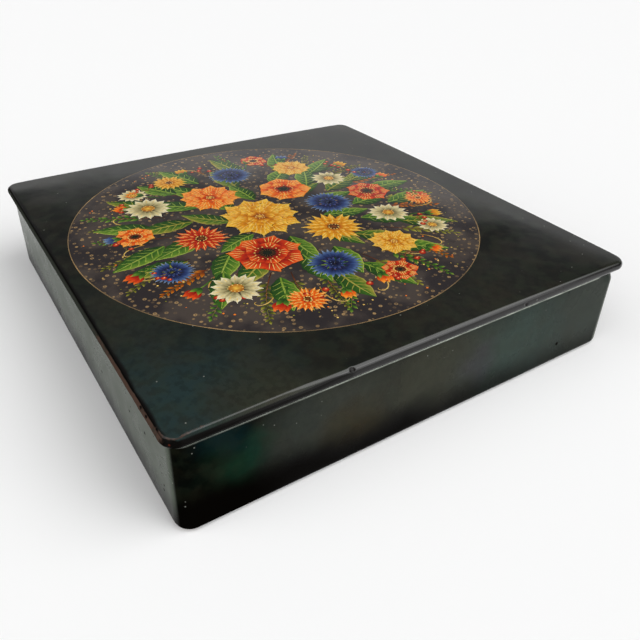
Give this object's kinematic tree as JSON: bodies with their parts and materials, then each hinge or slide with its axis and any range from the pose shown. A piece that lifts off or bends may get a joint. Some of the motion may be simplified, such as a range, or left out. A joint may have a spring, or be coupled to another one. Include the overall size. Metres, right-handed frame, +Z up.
{
  "type": "lacquer box",
  "caption": "Low square lacquered paper-board box with a slightly domed hinged lid, a rounded lid edge and a closing lip, for holding small keepsakes.",
  "frame": {"origin": "middle of the underside, on the plane that the box rests on", "axes": "+Z up, front of the box towards -Y, hinges towards +Y, +X to the right seen from the front"},
  "size_m": [0.2, 0.194, 0.0416],
  "materials": {
    "black_lacquer": "gloss",
    "red_lacquer": "gloss",
    "brass": "satin"
  },
  "bodies": {
    "base": {"wall_frame": "black_lacquer", "bottom_panel": "black_lacquer", "front_liner": "red_lacquer", "left_liner": "red_lacquer", "right_liner": "red_lacquer", "back_liner": "red_lacquer", "left_hinge_body_leaf": "brass", "right_hinge_body_leaf": "brass", "left_hinge_pin": "brass", "right_hinge_pin": "brass", "body_leaf_nails": "brass"},
    "lid": {"lid_panel": "black_lacquer", "lid_frame": "black_lacquer", "left_hinge_lid_leaf": "brass", "right_hinge_lid_leaf": "brass", "lid_leaf_nails": "brass"}
  },
  "joints": [
    {"name": "lid_hinge", "type": "hinge", "parent": "base", "child": "lid", "pos_m": [0, 0.0954, 0.036], "axis": [-1, 0, 0], "range_deg": [0, 105]}
  ]
}
